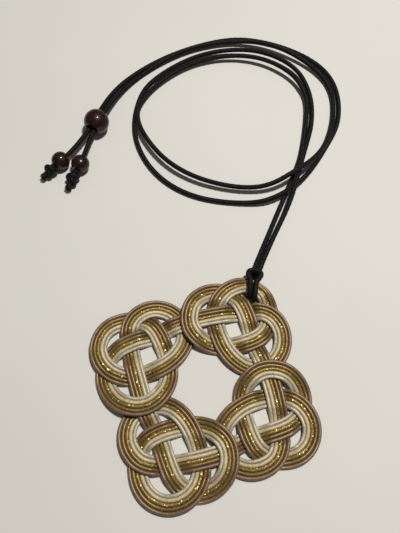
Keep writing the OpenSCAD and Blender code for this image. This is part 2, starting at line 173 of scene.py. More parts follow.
# Where the band is parted beneath a neighbour's arc, and the least stretch in which it changes layer,
# both in places
PART_PLACE = -0.45
LEAST_CHANGE = 0.2
# How far a cord's rises are rounded along it, and how far a hand-laid cord strays across and up, in mm
EASE_REACH = 0.5
STRAY_ACROSS = 0.03
STRAY_UP = 0.02
# Whole waves of that stray in the ring, and the seeds of the stray across and up
STRAY_WAVES = (17, 29, 41)
ACROSS_SEED = 10
UP_SEED = 20

# How closely the ways are followed: fine steps between a way's points, steps to find a meeting, points
# of a cord of the band for each place, and mm between the points of the neck cord
FINE_STEPS = 60
MEETING_STEPS = 6
BAND_POINTS_A_PLACE = 20
STRAND_SPACING = 0.14

# How finely a bead is turned: points on its ball, its bore's edge and its bore, and sides round it
BALL_POINTS = 41
EDGE_POINTS = 9
BORE_POINTS = 9
BEAD_SIDES = 72
# Radius of the bore's rounded edges, as a share of the bead's diameter
BEAD_EDGE = 0.06

# The neck cord's braid: its yarns each way, its lay, and how far crowns rise and grooves sink, both in mm
BRAID_YARNS = 4
BRAID_LAY = 1.6
BRAID_RELIEF = 0.02
# End knots: how tightly the overhand is pulled, and how much thicker than the neck cord its fuzzy cord is
OVERHAND_TIGHT = 0.92
KNOT_GIRTH = 1.2
# The knot's cut end: how much thicker it spreads, over the last so many mm, and the disc that its fibres
# grow from: where it is, [across, along], its radius and its sides
CUT_GIRTH = 0.2
CUT_REACH = 2.0
CUT_END = (0.1, 4.95)
CUT_RADIUS = 0.75
CUT_SIDES = 12

# Glitter: the cord of the band that carries it, and how far its flakes stand off that cord, in mm
GLITTER_CORD = 2
FLAKE_LIFT = 0.012
# How far flakes and loose fibres lean, in radians, and the least and the greatest share of their size
FLAKE_TILT = 0.45
FLAKE_SIZES = (0.6, 1.25)
FIBRE_TILT = 0.5
FIBRE_SIZES = (0.5, 1.2)
# The widest turn that chance gives a flake or a fibre about its own middle, in radians
WIDEST_TURN = 6.28

# The lamp, in degrees, metres and watts: the point that it faces, where it stands from there, its width
# and its power
LAMP_AIM = (0.0, 0.04, 0.0)
LAMP_AZIMUTH = 35
LAMP_ELEVATION = 73
LAMP_DISTANCE = 0.5
LAMP_WIDTH = 0.06
LAMP_POWER = 2.33
# How bright the even light from all round is, and how far the board reaches, in metres
SKY_STRENGTH = 0.12
FLOOR_REACH = 2


def linear(hex_colour):
    """An sRGB hex colour as the linear colour that a shader takes."""
    parts = [int(hex_colour[i:i + 2], 16) / 255 for i in (1, 3, 5)]
    return [c / 12.92 if c <= 0.04045 else ((c + 0.055) / 1.055) ** 2.4 for c in parts] + [1.0]


def add(tree, kind, inputs=None, **settings):
    """Adds a node with its settings; each input gets a value or another node's output."""
    node = tree.nodes.new(kind)
    for name, value in settings.items():
        setattr(node, name, value)
    for socket, value in (inputs or {}).items():
        if isinstance(value, bpy.types.NodeSocket):
            tree.links.new(value, node.inputs[socket])
        else:
            node.inputs[socket].default_value = value
    return node


def make_camera():
    """The camera, which looks down at the surface and a little towards the cord's loop."""
    data = bpy.data.cameras.new("camera")
    data.lens = LENS
    data.sensor_width = SENSOR
    data.clip_start = 0.01
    camera = bpy.data.objects.new("camera", data)
    camera.location = (CAMERA_FOOT[0] * MM, CAMERA_FOOT[1] * MM, CAMERA_HEIGHT * MM)
    camera.rotation_euler = Euler((math.radians(CAMERA_LEAN), 0, 0))
    bpy.context.scene.collection.objects.link(camera)
    bpy.context.scene.camera = camera


# Ways and splines

def pushed(points, closed):
    """Control points of a cubic B-spline that passes within a hair of the points."""
    p = np.asarray(points, float)
    before, after = np.roll(p, 1, axis=0), np.roll(p, -1, axis=0)
    controls = p + (2 * p - before - after) / 6
    if closed:
        return controls
    controls[0], controls[-1] = p[0], p[-1]
    return np.vstack([2 * controls[0] - controls[1], controls, 2 * controls[-1] - controls[-2]])


def spline(controls, first, t):
    """The B-spline at share t of the piece whose four controls begin at each index of first."""
    n = len(controls)
    t = t[:, None]
    weights = [(1 - t) ** 3, 3 * t ** 3 - 6 * t ** 2 + 4, -3 * t ** 3 + 3 * t ** 2 + 3 * t + 1, t ** 3]
    return sum(w * controls[(first + j) % n] for j, w in enumerate(weights)) / 6


def even(points, spacing):
    """The same line with its points a given distance apart."""
    run = np.concatenate([[0], np.cumsum(np.linalg.norm(np.diff(points, axis=0), axis=1))])
    at = np.linspace(0, run[-1], max(2, int(round(run[-1] / spacing)) + 1))
    return np.stack([np.interp(at, run, points[:, axis]) for axis in range(points.shape[1])], axis=1)


def open_way(way, spacing):
    """Evenly spaced points along the spline through a way's points."""
    place = np.linspace(0, len(way) - 1, FINE_STEPS * len(way))
    first = np.minimum(place.astype(int), len(way) - 2)
    return even(spline(pushed(way, False), first, place - first), spacing)


def turn(points, degrees):
    """Flat points turned anticlockwise about the origin."""
    angle = math.radians(degrees)
    return points @ np.array([[math.cos(angle), math.sin(angle)], [-math.sin(angle), math.cos(angle)]])


def left_of(v):
    """The unit vectors that point to the left of flat vectors."""
    v = v / np.linalg.norm(v, axis=-1, keepdims=True)
    return np.stack([-v[..., 1], v[..., 0]], axis=-1)


def ring_points():
    """The band's closed way round the ring of four knots."""
    knots = [turn(turn(np.array(KNOT_WAY) - KNOT_MIDDLE, angle) + KNOT_MIDDLE + [dx, dy], -90 * k)
             for k, (angle, dx, dy) in enumerate(KNOT_SEATS)]
    points = np.vstack(knots)
    ahead = np.roll(points, -1, axis=0) - np.roll(points, 1, axis=0)
    return points + np.array(KNOT_STRAY).reshape(-1, 1) * left_of(ahead)


RING_CONTROLS = pushed(ring_points(), True)


def ring_at(place):
    """The middle of the band at places along the ring, of which each knot has one for each point."""
    place = np.atleast_1d(np.asarray(place, float))
    step = np.floor(place)
    return spline(RING_CONTROLS, step.astype(int) - 1, place - step)


def ring_slope(place):
    """The band's direction at places along the ring, in mm a place."""
    small = 1e-4
    place = np.atleast_1d(np.asarray(place, float))
    return (ring_at(place + small) - ring_at(place - small)) / (2 * small)


def met(place, other):
    """The exact places at which two runs of the band meet, reached in a few steps along both runs."""
    for _ in range(MEETING_STEPS):
        gap = (ring_at(other) - ring_at(place))[0]
        a, b = ring_slope(place)[0], ring_slope(other)[0]
        across = a[0] * b[1] - a[1] * b[0]
        place, other = (place + (gap[0] * b[1] - gap[1] * b[0]) / across,
                        other + (gap[0] * a[1] - gap[1] * a[0]) / across)
    return place, other


def meetings(k):
    """Where knot k's runs meet: [place, layer, shift of the place per mm to the left, half stretch]."""
    half_width = (MIZUHIKI_COUNT - 1) / 2 * MIZUHIKI_PITCH + MIZUHIKI_D / 2
    rows = []
    for place, other, layer in WEAVE:
        if other is None:
            if k == HITCHED_KNOT:
                layer = (NECK_D + HITCH_SPARE) / LAYER_RISE
                place = place + HITCH_OFF_TOP
            rows.append([place + k * KNOT_STEPS, layer, 0, ARC_HALF_STRETCH])
            continue
        place, other = met(place + k * KNOT_STEPS, other + k * KNOT_STEPS)
        a, b = ring_slope(place)[0], ring_slope(other)[0]
        size = np.linalg.norm(a)
        own, cross_run = a / size, b / np.linalg.norm(b)
        half = half_width / abs(own[0] * cross_run[1] - own[1] * cross_run[0]) / size
        shift = (own @ cross_run) / (cross_run @ left_of(own)) / size
        rows.append([place, layer, shift, (TOP_LAYER_WIDER if layer == 2 else 1) * half])
    return rows


def smooth(x):
    """Rises from 0 to 1 with soft ends."""
    t = np.clip(x, 0, 1)
    return t * t * (3 - 2 * t)


def layer_at(rows, places, left):
    """Which layer of the weave a cord lies in, left mm to the left of the band's middle."""
    layers = np.zeros(len(places))
    for i, (place, side) in enumerate(zip(places, left)):
        after = next(n for n in range(1, len(rows)) if place < rows[n][0] + side * rows[n][2])
        a, b = rows[after - 1], rows[after]
        start = a[0] + side * a[2] + a[3]
        end = b[0] + side * b[2] - b[3]
        share = (place - (start + end) / 2) / max(LEAST_CHANGE, end - start) + 0.5
        layers[i] = a[1] + (b[1] - a[1]) * smooth(share)
    return layers


def eased(values, points, reach):
    """Rounds a cord's rises and falls over a reach in mm, as the cord is too stiff to step."""
    steps = max(1, int(round(reach / np.linalg.norm(np.diff(points, axis=0), axis=1).mean())))
    weights = np.hanning(2 * steps + 3)[1:-1]
    padded = np.concatenate([np.full(steps, values[0]), values, np.full(steps, values[-1])])
    return np.convolve(padded, weights / weights.sum(), mode="valid")


def stray(places, seed, size):
    """The slow, repeatable stray of a hand-laid cord, the same at the start and the end of the ring."""
    chance = np.random.default_rng(seed)
    turns = 2 * math.pi * places / (len(KNOT_SEATS) * KNOT_STEPS)
    waves = [(count, chance.uniform(0, 2 * math.pi)) for count in STRAY_WAVES]
    return size * sum(np.sin(count * turns + phase) for count, phase in waves) / 2


def cord_way(k, cord):
    """Way of one cord of the band through knot k, in mm."""
    rows = [meetings(k - 1)[-1]] + meetings(k) + [meetings(k + 1)[0]]
    first = k * KNOT_STEPS + PART_PLACE
    places = np.linspace(first, first + KNOT_STEPS, KNOT_STEPS * BAND_POINTS_A_PLACE + 1)
    hitch = HITCHED_KNOT * KNOT_STEPS + ARC_TOP + HITCH_OFF_TOP
    pinch = smooth(1 - np.abs(places - hitch) / PINCH_REACH)
    side = (1 - PINCH_NARROWS * pinch) * (cord - (MIZUHIKI_COUNT - 1) / 2) * MIZUHIKI_PITCH
    side = side + stray(places, ACROSS_SEED + cord, STRAY_ACROSS)
    flat = ring_at(places) + side[:, None] * left_of(ring_slope(places))
    level = eased(layer_at(rows, places, side), flat, EASE_REACH)
    stagger = PINCH_STAGGER * pinch * (1 if cord % 2 else -1)
    height = (level * LAYER_RISE + MIZUHIKI_D / 2 * (1 + PINCH_RISE * pinch) + stagger
              + stray(places, UP_SEED + cord, STRAY_UP))
    return np.column_stack([flat, np.maximum(height, MIZUHIKI_D / 2)])


def hitch_points(spacing):
    """The hitch's way, turned and moved to its place on the arc."""
    points = open_way(HITCH_WAY, spacing)
    points[:, :2] = turn(points[:, :2], HITCH_TURN) + HITCH_PLACE
    return points


def pointed(at, along):
    """The matrix that turns a piece made along +Z along a direction and moves it to its place."""
    x, y, z = along
    lean = math.acos(z / math.sqrt(x * x + y * y + z * z))
    return (Matrix.Translation(Vector(at) - Vector(DRAWN_MIDDLE))
            @ Matrix.Rotation(math.atan2(y, x), 4, "Z") @ Matrix.Rotation(lean, 4, "Y"))


def moved(matrix, points):
    """Points moved by a matrix."""
    m = np.array(matrix)
    return points @ m[:3, :3].T + m[:3, 3]


def drawn(points):
    """Points about the drawn ring, in the part's frame."""
    return points - DRAWN_MIDDLE


# Materials

def new_material(name):
    """An empty node material and its tree."""
    material = bpy.data.materials.new(name)
    material.use_nodes = True
    tree = material.node_tree
    tree.nodes.clear()
    return material, tree


def angle_round(tree, around):
    """How far round its cord a point is, in radians, from its direction across the cord."""
    split = add(tree, "ShaderNodeSeparateXYZ", {0: around})
    return add(tree, "ShaderNodeMath", {0: split.outputs["Y"], 1: split.outputs["X"]},
               operation="ARCTAN2").outputs[0]


def crossed_yarns(tree, along, around):
    """Yarns that wind round a cord both ways: from -1 in the grooves to 1 on the crowns."""
    waves = []
    for way in ("ADD", "SUBTRACT"):
        phase = add(tree, "ShaderNodeMath", {0: along, 1: around}, operation=way)
        waves.append(add(tree, "ShaderNodeMath", {0: phase.outputs[0]}, operation="SINE").outputs[0])
    return add(tree, "ShaderNodeMath", {0: waves[0], 1: waves[1]}, operation="MAXIMUM").outputs[0]


def cord_places(tree):
    """How far along its cord a point is, in metres, and how far round it, in radians."""
    along = add(tree, "ShaderNodeAttribute", attribute_name="along").outputs["Fac"]
    around = add(tree, "ShaderNodeAttribute", attribute_name="around").outputs["Vector"]
    return along, angle_round(tree, around)


def wound_cord(name, dark, light, thread_mm, metallic, roughness, bump):
    """Mizuhiki, twisted paper wound with thread or film: a satin shine, broken by slanting turns."""
    material, tree = new_material(name)
    along, angle = cord_places(tree)
    # The turns are drawn about 0.3 mm apart, coarser than the real ones, so that they show
    turns = add(tree, "ShaderNodeMath", {0: along, 1: 2 * math.pi / (thread_mm * MM)},
                operation="MULTIPLY")
    slant = add(tree, "ShaderNodeMath", {0: turns.outputs[0], 1: angle}, operation="ADD")
    wave = add(tree, "ShaderNodeMath", {0: slant.outputs[0]}, operation="SINE")
    # This wave both raises the turns' crowns and paints their grooves darker than their crowns as painted
    # shade
    turn_crowns_and_groove_shade = add(tree, "ShaderNodeMapRange", {"Value": wave.outputs[0], "From Min": -1.0, "From Max": 1.0})
    # Fibres about 0.4 mm long, and patches of lighter and darker winding about 2.4 mm long
    place = add(tree, "ShaderNodeTexCoord").outputs["Object"]
    fine = add(tree, "ShaderNodeTexNoise", {"Vector": place, "Scale": 2600.0, "Detail": 3.0})
    broad = add(tree, "ShaderNodeTexNoise", {"Vector": place, "Scale": 420.0, "Detail": 2.0})
    mixed = add(tree, "ShaderNodeMath", {0: turn_crowns_and_groove_shade.outputs[0], 1: 0.45, 2: fine.outputs["Fac"]},
                operation="MULTIPLY_ADD")
    toned = add(tree, "ShaderNodeMath", {0: broad.outputs["Fac"], 1: 0.5, 2: mixed.outputs[0]},
                operation="MULTIPLY_ADD")
    # The colour goes dark in the turns' grooves, which is painted shade, and lighter and darker at random
    # with the fibres and patches
    share = add(tree, "ShaderNodeMapRange",
                {"Value": toned.outputs[0], "From Min": 0.55, "From Max": 1.3})
    colour = add(tree, "ShaderNodeMix",
                 {"Factor": share.outputs[0], 6: linear(dark), 7: linear(light)}, data_type="RGBA")
    height = add(tree, "ShaderNodeBump",
                 {"Height": mixed.outputs[0], "Strength": bump, "Distance": 0.04 * MM})
    bsdf = add(tree, "ShaderNodeBsdfPrincipled",
               {"Base Color": colour.outputs[2], "Metallic": metallic, "Roughness": roughness,
                "Normal": height.outputs[0]})
    add(tree, "ShaderNodeOutputMaterial", {"Surface": bsdf.outputs["BSDF"]})
    return material


def glitter_flake():
    """Cut metallised film: each flake is a tiny flat mirror, so it sparkles where it faces the light."""
    material, tree = new_material("gold_glitter_film")
    # The film's gold is lighter and darker every 0.7 mm or so
    place = add(tree, "ShaderNodeTexCoord").outputs["Object"]
    noise = add(tree, "ShaderNodeTexNoise", {"Vector": place, "Scale": 1500.0})
    colour = add(tree, "ShaderNodeMix",
                 {"Factor": noise.outputs["Fac"], 6: linear("#a08542"), 7: linear("#e2cf8e")},
                 data_type="RGBA")
    bsdf = add(tree, "ShaderNodeBsdfPrincipled",
               {"Base Color": colour.outputs[2], "Metallic": 0.85, "Roughness": 0.42})
    add(tree, "ShaderNodeOutputMaterial", {"Surface": bsdf.outputs["BSDF"]})
    return material


def waxed_cotton():
    """Black braided cotton drawn through wax: nearly black, with a dull sheen on the braid's crowns."""
    material, tree = new_material("waxed_cotton")
    along, angle = cord_places(tree)
    # The yarns go once round the cord in each lay; they are twice as coarse as the real ones, so they show
    turns = add(tree, "ShaderNodeMath", {0: along, 1: 2 * math.pi * BRAID_YARNS / (BRAID_LAY * MM)},
                operation="MULTIPLY")
    spun = add(tree, "ShaderNodeMath", {0: angle, 1: BRAID_YARNS}, operation="MULTIPLY")
    braid = crossed_yarns(tree, turns.outputs[0], spun.outputs[0])
    # Fibres about 0.3 mm long, and wax that is thicker and thinner every 1.4 mm or so
    place = add(tree, "ShaderNodeTexCoord").outputs["Object"]
    fibre = add(tree, "ShaderNodeTexNoise", {"Vector": place, "Scale": 3000.0, "Detail": 4.0})
    wax = add(tree, "ShaderNodeTexNoise", {"Vector": place, "Scale": 700.0, "Detail": 2.0})
    share = add(tree, "ShaderNodeMapRange",
                {"Value": fibre.outputs["Fac"], "From Min": 0.3, "From Max": 0.75})
    colour = add(tree, "ShaderNodeMix",
                 {"Factor": share.outputs[0], 6: linear("#040404"), 7: linear("#0d0c0a")},
                 data_type="RGBA")
    rough = add(tree, "ShaderNodeMapRange",
                {"Value": wax.outputs["Fac"], "From Min": 0.3, "From Max": 0.7,
                 "To Min": 0.5, "To Max": 0.7})
    height = add(tree, "ShaderNodeMath", {0: braid, 1: 0.6, 2: fibre.outputs["Fac"]},
                 operation="MULTIPLY_ADD")
    bump = add(tree, "ShaderNodeBump",
               {"Height": height.outputs[0], "Strength": 0.6, "Distance": 0.06 * MM})
    bsdf = add(tree, "ShaderNodeBsdfPrincipled",
               {"Base Color": colour.outputs[2], "Roughness": rough.outputs[0], "Normal": bump.outputs[0],
                "Specular IOR Level": 0.2, "Sheen Weight": 0.01, "Sheen Roughness": 0.5})
    add(tree, "ShaderNodeOutputMaterial", {"Surface": bsdf.outputs["BSDF"]})
    return material


def lacquered_wood():
    """Turned hardwood, stained a dark red-brown and lacquered: fine grain under a clear gloss."""
    material, tree = new_material("lacquered_wood")
    turned = add(tree, "ShaderNodeAttribute", attribute_name="turned").outputs["Vector"]
    # The grain's streaks are about 0.7 mm apart and run along the bore; the stain's patches are 3 mm wide
    grain = add(tree, "ShaderNodeMapping", {"Vector": turned, "Scale": (1.0, 1.0, 0.12)})
    noise = add(tree, "ShaderNodeTexNoise",
                {"Vector": grain.outputs[0], "Scale": 1400.0, "Detail": 5.0, "Distortion": 0.6})
    stain = add(tree, "ShaderNodeTexNoise", {"Vector": turned, "Scale": 350.0, "Detail": 2.0})
    share = add(tree, "ShaderNodeMapRange",
                {"Value": noise.outputs["Fac"], "From Min": 0.35, "From Max": 0.7})
    streaks = add(tree, "ShaderNodeMix",
                  {"Factor": share.outputs[0], 6: linear("#110502"), 7: linear("#371407")},
                  data_type="RGBA")
    colour = add(tree, "ShaderNodeMix",
                 {"Factor": stain.outputs["Fac"], 6: streaks.outputs[2], 7: linear("#1e0a04")},
                 data_type="RGBA")
    bump = add(tree, "ShaderNodeBump",
               {"Height": noise.outputs["Fac"], "Strength": 0.12, "Distance": 0.03 * MM})
    bsdf = add(tree, "ShaderNodeBsdfPrincipled",
               {"Base Color": colour.outputs[2], "Roughness": 0.45, "Normal": bump.outputs[0],
                "Specular IOR Level": 0.2, "Coat Weight": 0.55, "Coat Roughness": 0.06, "Coat IOR": 1.4})
    add(tree, "ShaderNodeOutputMaterial", {"Surface": bsdf.outputs["BSDF"]})
    return material


def floor_paint():
    """Pale matt board with a faint mottle, whose patches are about 55 mm wide."""
    material, tree = new_material("pale_board")
    place = add(tree, "ShaderNodeTexCoord").outputs["Object"]
    noise = add(tree, "ShaderNodeTexNoise", {"Vector": place, "Scale": 18.0, "Detail": 4.0})
    colour = add(tree, "ShaderNodeMix",
                 {"Factor": noise.outputs["Fac"], 6: linear("#d6d3cb"), 7: linear("#dedcd6")},
                 data_type="RGBA")
    bsdf = add(tree, "ShaderNodeBsdfPrincipled", {"Base Color": colour.outputs[2], "Roughness": 0.75})
    add(tree, "ShaderNodeOutputMaterial", {"Surface": bsdf.outputs["BSDF"]})
    return material


# Pieces

def line_mesh(name, ways, girth=None):
    """Loose lines through each way's points, which know each cord's number and girth."""
    points, edges, numbers = [], [], []
    for number, way in enumerate(ways):
        start = len(points)
        points.extend((way * MM).tolist())
        edges.extend((i, i + 1) for i in range(start, len(points) - 1))
        numbers.extend([float(number)] * len(way))
    mesh = bpy.data.meshes.new(name)
    mesh.from_pydata(points, edges, [])
    mesh.attributes.new("cord", "FLOAT", "POINT").data.foreach_set("value", numbers)
    girths = np.ones(len(points)) if girth is None else girth
    mesh.attributes.new("girth", "FLOAT", "POINT").data.foreach_set("value", girths)
    return mesh


def new_tree(name, sizes):
    """A geometry node tree with an input for each size, and what the inputs give."""
    tree = bpy.data.node_groups.new(name, "GeometryNodeTree")
    tree.interface.new_socket("Geometry", in_out="INPUT", socket_type="NodeSocketGeometry")
    for label in sizes:
        kind = "NodeSocketInt" if label in ("Sides", "Yarns", "Seed") else "NodeSocketFloat"
        tree.interface.new_socket(label, in_out="INPUT", socket_type=kind)
    tree.interface.new_socket("Geometry", in_out="OUTPUT", socket_type="NodeSocketGeometry")
    return tree, tree.nodes.new("NodeGroupInput").outputs


def strewn(tree, where, seed, thing, tilt, sizes):
    """Copies of a thing on faces, each leaning up to tilt radians, turned and sized by chance."""
    spots = add(tree, "GeometryNodeDistributePointsOnFaces", {**where, "Seed": seed})
    lean = add(tree, "FunctionNodeRandomValue",
               {0: (-tilt, -tilt, 0.0), 1: (tilt, tilt, WIDEST_TURN), "Seed": seed},
               data_type="FLOAT_VECTOR")
    facing = add(tree, "FunctionNodeRotateRotation", {0: spots.outputs["Rotation"], 1: lean.outputs[0]},
                 rotation_space="LOCAL")
    size = add(tree, "FunctionNodeRandomValue", {2: sizes[0], 3: sizes[1], "Seed": seed},
               data_type="FLOAT")
    laid = add(tree, "GeometryNodeInstanceOnPoints",
               {"Points": spots.outputs["Points"], "Instance": thing,
                "Rotation": facing.outputs[0], "Scale": size.outputs[1]})
    return add(tree, "GeometryNodeRealizeInstances", {"Geometry": laid.outputs[0]}).outputs[0]


def cord_tree(name, materials, sizes, flaked=None, film=None):
    """Makes round cords along lines, each in its own material, with flakes of film on one of them."""
    tree, given = new_tree(name, sizes)
    # Lines become curves that remember how far along they are; the section remembers how far round it is
    curve = add(tree, "GeometryNodeMeshToCurve", {"Mesh": given["Geometry"]})
    length = add(tree, "GeometryNodeSplineParameter").outputs["Length"]
    curve = add(tree, "GeometryNodeStoreNamedAttribute",
                {"Geometry": curve.outputs[0], "Name": "along", "Value": length}, data_type="FLOAT")
    radius = add(tree, "ShaderNodeMath", {0: given["Diameter"], 1: 0.5}, operation="MULTIPLY")
    section = add(tree, "GeometryNodeCurvePrimitiveCircle",
                  {"Resolution": given["Sides"], "Radius": radius.outputs[0]})
    outward = add(tree, "ShaderNodeVectorMath", {0: add(tree, "GeometryNodeInputPosition").outputs[0]},
                  operation="NORMALIZE")
    section = add(tree, "GeometryNodeStoreNamedAttribute",
                  {"Geometry": section.outputs[0], "Name": "around", "Value": outward.outputs[0]},
                  data_type="FLOAT_VECTOR")
    girth = add(tree, "GeometryNodeInputNamedAttribute", {"Name": "girth"}, data_type="FLOAT").outputs[0]
    tube = add(tree, "GeometryNodeCurveToMesh",
               {"Curve": curve.outputs[0], "Profile Curve": section.outputs[0], "Scale": girth,
                "Fill Caps": True})
    # Yarns laid both ways round the cord raise its surface in a braid
    along = add(tree, "GeometryNodeInputNamedAttribute", {"Name": "along"}, data_type="FLOAT").outputs[0]
    around = add(tree, "GeometryNodeInputNamedAttribute", {"Name": "around"}, data_type="FLOAT_VECTOR")
    spun = add(tree, "ShaderNodeMath", {0: angle_round(tree, around.outputs[0]), 1: given["Yarns"]},
               operation="MULTIPLY")
    turns = add(tree, "ShaderNodeMath", {0: along, 1: given["Lay"]}, operation="DIVIDE")
    phase = add(tree, "ShaderNodeMath", {0: turns.outputs[0], 1: 2 * math.pi}, operation="MULTIPLY")
    crowns = crossed_yarns(tree, phase.outputs[0], spun.outputs[0])
    lift = add(tree, "ShaderNodeMath", {0: crowns, 1: given["Relief"]}, operation="MULTIPLY")
    normal = add(tree, "GeometryNodeInputNormal").outputs[0]
    offset = add(tree, "ShaderNodeVectorMath", {0: normal, "Scale": lift.outputs[0]}, operation="SCALE")
    shape = add(tree, "GeometryNodeSetPosition",
                {"Geometry": tube.outputs[0], "Offset": offset.outputs[0]}).outputs[0]
    number = add(tree, "GeometryNodeInputNamedAttribute", {"Name": "cord"}, data_type="FLOAT").outputs[0]
    chosen = []
    for i, material in enumerate(materials):
        chosen.append(add(tree, "FunctionNodeCompare", {0: number, 1: float(i), "Epsilon": 0.4},
                          data_type="FLOAT", operation="EQUAL").outputs[0])
        shape = add(tree, "GeometryNodeSetMaterial",
                    {"Geometry": shape, "Selection": chosen[i], "Material": material}).outputs[0]
    shape = add(tree, "GeometryNodeSetShadeSmooth", {"Geometry": shape}).outputs[0]
    if film:
        flake = add(tree, "GeometryNodeMeshCircle", {"Vertices": 6, "Radius": given["Flake radius"]},
                    fill_type="NGON").outputs[0]
        where = {"Mesh": shape, "Selection": chosen[flaked], "Density": given["Flakes a square metre"]}
        flakes = strewn(tree, where, given["Seed"], flake, FLAKE_TILT, FLAKE_SIZES)
        above = add(tree, "ShaderNodeVectorMath", {0: normal, "Scale": FLAKE_LIFT * MM},
                    operation="SCALE")
        flakes = add(tree, "GeometryNodeSetPosition", {"Geometry": flakes, "Offset": above.outputs[0]})
        flakes = add(tree, "GeometryNodeSetMaterial", {"Geometry": flakes.outputs[0], "Material": film})
        both = tree.nodes.new("GeometryNodeJoinGeometry")
        tree.links.new(flakes.outputs[0], both.inputs[0])
        tree.links.new(shape, both.inputs[0])
        shape = both.outputs[0]
    shape = add(tree, "GeometryNodeRealizeInstances", {"Geometry": shape}).outputs[0]
    add(tree, "NodeGroupOutput", {"Geometry": shape})
    return tree


def grown(name, mesh, tree, sizes):
    """The piece that a node tree makes from a mesh, as a plain mesh."""
    piece = bpy.data.objects.new(name, mesh)
    bpy.context.scene.collection.objects.link(piece)
    modifier = piece.modifiers.new("nodes", "NODES")
    modifier.node_group = tree
    for item in tree.interface.items_tree:
        if item.in_out == "INPUT" and item.name in sizes:
            modifier[item.identifier] = sizes[item.name]
    bpy.context.view_layer.update()
    seen = piece.evaluated_get(bpy.context.evaluated_depsgraph_get())
    result = bpy.data.meshes.new_from_object(seen)
    piece.modifiers.remove(modifier)
    piece.data = result
    result.name = name
    return piece


def revolved(name, profile, seat, sides, material):
    """A ring turned from a closed profile, [radius, along] in mm, which keeps its place on the lathe."""
    count = len(profile)
    angles = np.linspace(0, 2 * math.pi, sides, endpoint=False)
    local = np.array([[r * math.cos(a), r * math.sin(a), z] for a in angles for r, z in profile])
    faces = [(i * count + j, ((i + 1) % sides) * count + j,
              ((i + 1) % sides) * count + (j + 1) % count, i * count + (j + 1) % count)
             for i in range(sides) for j in range(count)]
    mesh = bpy.data.meshes.new(name)
    mesh.from_pydata((moved(pointed(*seat), local) * MM).tolist(), [], faces)
    turned = mesh.attributes.new("turned", "FLOAT_VECTOR", "POINT")
    turned.data.foreach_set("vector", (local * MM).ravel())
    mesh.materials.append(material)
    mesh.polygons.foreach_set("use_smooth", [True] * len(mesh.polygons))
    mesh.update()
    piece = bpy.data.objects.new(name, mesh)
    bpy.context.scene.collection.objects.link(piece)
    return piece


def bead(name, d, bore_d, seat, material):
    """A turned bead: a ball whose bore has rounded edges."""
    radius, bore, edge = d / 2, bore_d / 2, BEAD_EDGE * d
    # The edge's arc touches the ball from inside and the bore from outside
    rim = math.sqrt((radius - edge) ** 2 - (bore + edge) ** 2)
    tip = math.atan2(rim, bore + edge)
    ball = [(radius * math.cos(a), radius * math.sin(a)) for a in np.linspace(-tip, tip, BALL_POINTS)]
    upper = [(bore + edge + edge * math.cos(a), rim + edge * math.sin(a))
             for a in np.linspace(tip, math.pi, EDGE_POINTS)[1:]]
    wall = [(bore, z) for z in np.linspace(rim, -rim, BORE_POINTS)[1:]]
    lower = [(r, -z) for r, z in reversed(upper[:-1])]
    return revolved(name, ball + upper + wall + lower, seat, BEAD_SIDES, material)


def fray_tree(material, sizes):
    """Grows loose fibres from a cord's cut end."""
    tree, given = new_tree("frayed_end", sizes)
    line = add(tree, "GeometryNodeCurvePrimitiveLine",
               {"Direction": (0.0, 0.0, 1.0), "Length": given["Fibre length"]}, mode="DIRECTION")
    line = add(tree, "GeometryNodeResampleCurve", {"Curve": line.outputs[0], "Count": 4})
    radius = add(tree, "ShaderNodeMath", {0: given["Fibre diameter"], 1: 0.5}, operation="MULTIPLY")
    section = add(tree, "GeometryNodeCurvePrimitiveCircle",
                  {"Resolution": 4, "Radius": radius.outputs[0]})
    fibre = add(tree, "GeometryNodeCurveToMesh",
                {"Curve": line.outputs[0], "Profile Curve": section.outputs[0], "Fill Caps": True})
    where = {"Mesh": given["Geometry"], "Density": given["Fibres a square metre"]}
    fibres = strewn(tree, where, given["Seed"], fibre.outputs[0], FIBRE_TILT, FIBRE_SIZES)
    fibres = add(tree, "GeometryNodeSetMaterial", {"Geometry": fibres, "Material": material})
    add(tree, "NodeGroupOutput", {"Geometry": fibres.outputs[0]})
    return tree


def disc(name, radius, matrix):
    """A small flat disc, facing along the matrix's Z."""
    angles = np.linspace(0, 2 * math.pi, CUT_SIDES, endpoint=False)
    points = np.array([[radius * math.cos(a), radius * math.sin(a), 0] for a in angles])
    mesh = bpy.data.meshes.new(name)
    mesh.from_pydata((moved(matrix, points) * MM).tolist(), [], [tuple(range(len(points)))])
    return mesh


def joined(name, parts):
    """Several pieces of one material as one mesh."""
    with bpy.context.temp_override(active_object=parts[0], selected_editable_objects=parts,
                                   selected_objects=parts, object=parts[0]):
        bpy.ops.object.join()
    parts[0].name = name
    return parts[0]


def ridden(piece, node):
    """A piece rides on the one body and stands for its solid, which is hidden."""
    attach(piece, "root")
    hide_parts(node)
    return piece


# The board and the light

def make_floor():
    """A wide board, which the necklace lies on."""
    r = FLOOR_REACH
    mesh = bpy.data.meshes.new("floor")
    mesh.from_pydata([(-r, -r, 0), (r, -r, 0), (r, r, 0), (-r, r, 0)], [], [(0, 1, 2, 3)])
    mesh.materials.append(floor_paint())
    floor = bpy.data.objects.new("floor", mesh)
    bpy.context.scene.collection.objects.link(floor)


def make_lamp():
    """One small soft lamp, high over the necklace and a little towards the loop's right side."""
    azimuth, elevation = math.radians(LAMP_AZIMUTH), math.radians(LAMP_ELEVATION)
    direction = Vector((math.cos(elevation) * math.cos(azimuth), math.cos(elevation) * math.sin(azimuth),
                        math.sin(elevation)))
    data = bpy.data.lights.new("softbox", "AREA")
    data.shape = "DISK"
    data.size = LAMP_WIDTH
    data.energy = LAMP_POWER
    data.color = linear("#fffefb")[:3]
    lamp = bpy.data.objects.new("softbox", data)
    lamp.location = Vector(LAMP_AIM) + direction * LAMP_DISTANCE
    lamp.rotation_euler = direction.to_track_quat("Z", "Y").to_euler()
    bpy.context.scene.collection.objects.link(lamp)


